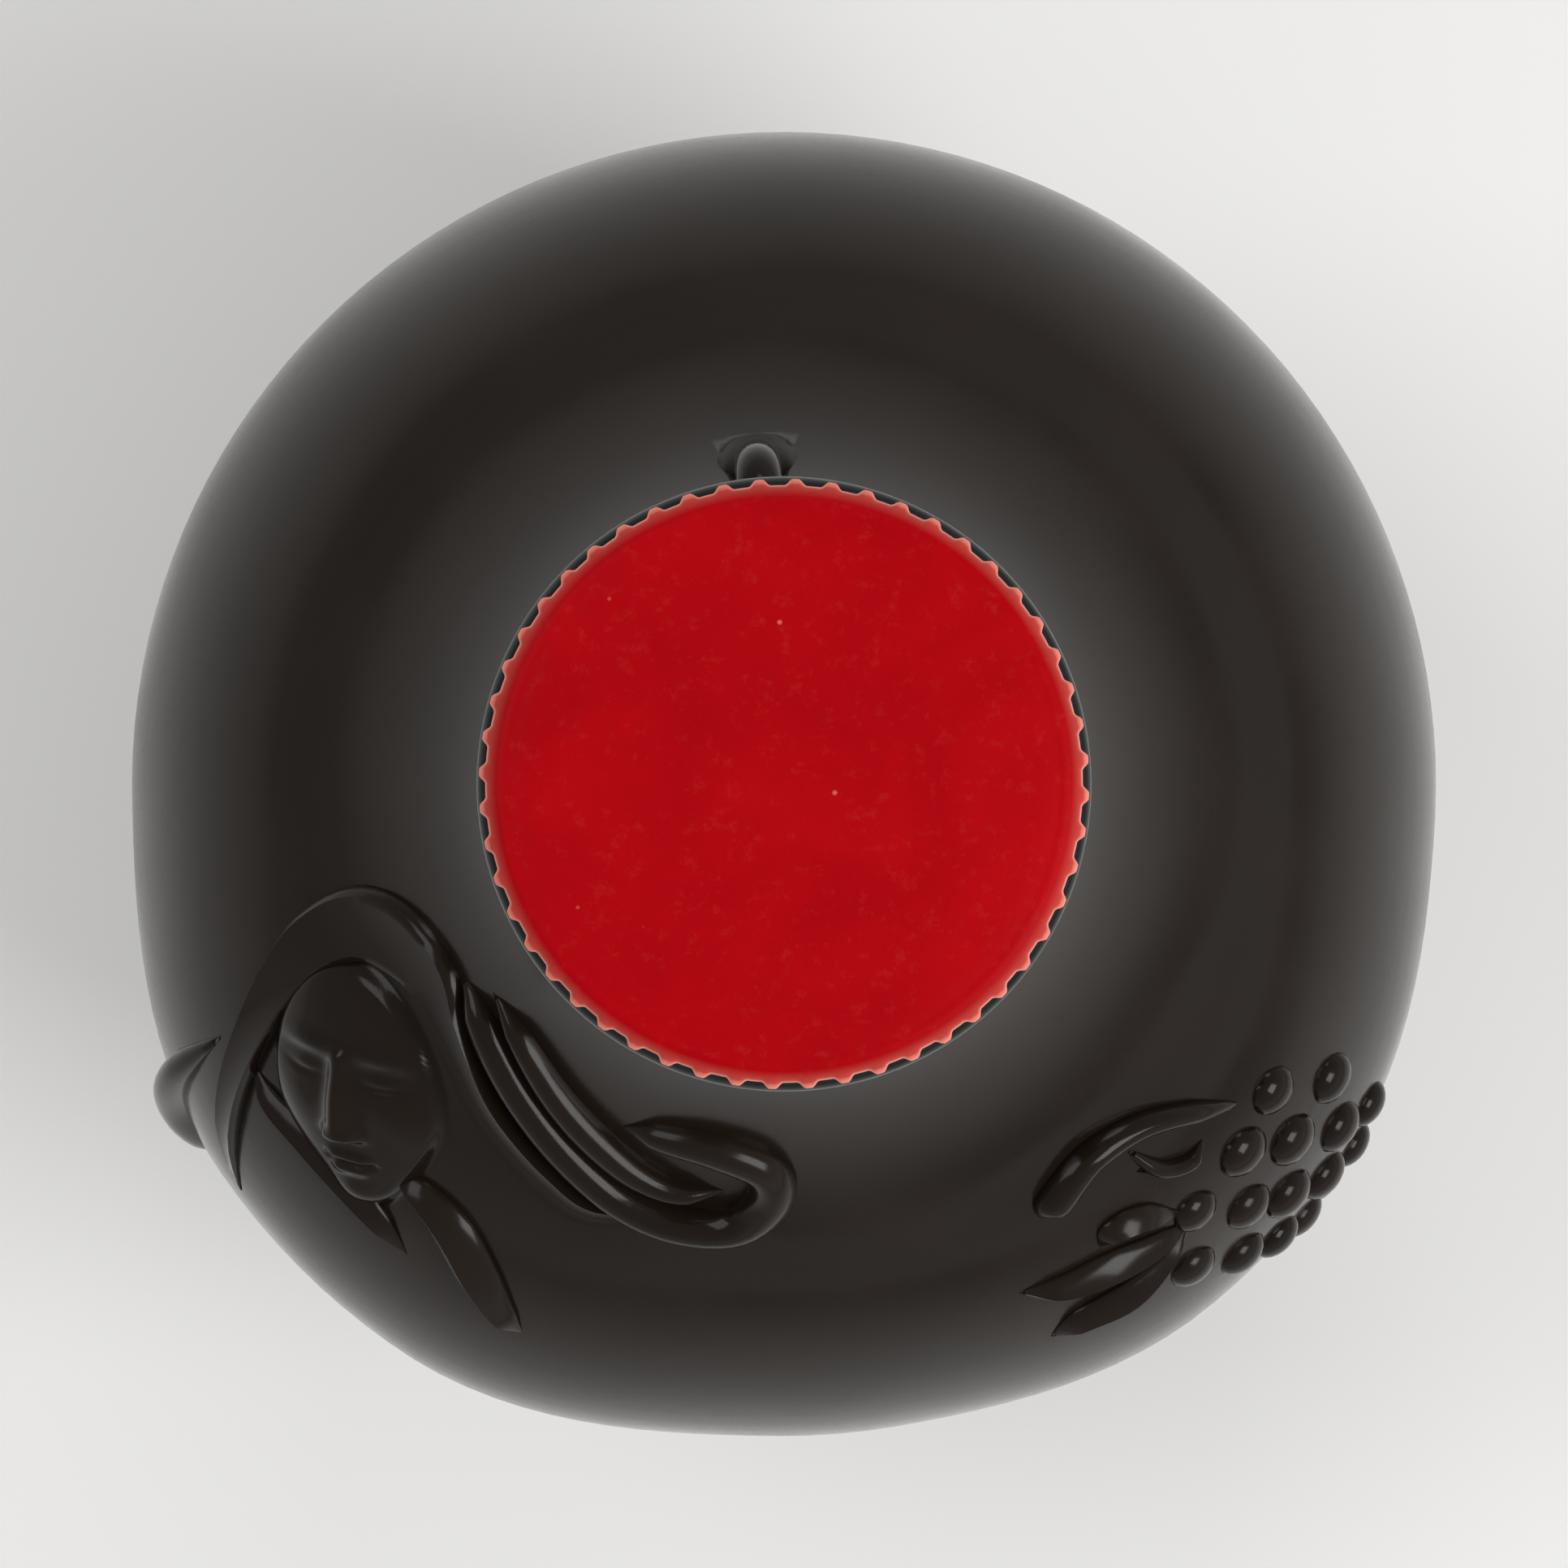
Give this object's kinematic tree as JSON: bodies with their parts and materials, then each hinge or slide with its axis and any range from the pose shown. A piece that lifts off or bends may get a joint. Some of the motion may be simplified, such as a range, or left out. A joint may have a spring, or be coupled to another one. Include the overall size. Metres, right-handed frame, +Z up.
{
  "type": "screw-cap flagon bottle",
  "caption": "Round dark glass flagon with a concave-flared neck, small loop handle, raised scroll and berry ornament, and a red ribbed screw cap that unscrews.",
  "frame": {"origin": "on the bottle's axis at the plane it stands on", "axes": "+Z up the neck, +Y towards the loop handle, -Y towards the decorated front"},
  "size_m": [0.1244, 0.124, 0.215],
  "materials": {
    "dark_glass": "gloss",
    "red_plastic": "satin moulded",
    "liner_foam": "matt"
  },
  "bodies": {
    "bottle": {"bottle": "dark_glass"},
    "cap_liner": {"cap_liner": "liner_foam"},
    "cap_shell": {"cap_shell": "red_plastic"}
  },
  "joints": [
    {"name": "cap_lift", "type": "slide", "parent": "bottle", "child": "cap_liner", "axis": [0, 0, 1], "range_m": [0, 0.01692]},
    {"name": "cap_turn", "type": "hinge", "parent": "cap_liner", "child": "cap_shell", "pos_m": [0, 0, 0.205], "axis": [0, 0, 1], "range_deg": [0, 1440]}
  ],
  "couplings": [
    {"joint": "cap_lift", "follows": "cap_turn", "m_per_rad": 0.00067323}
  ]
}
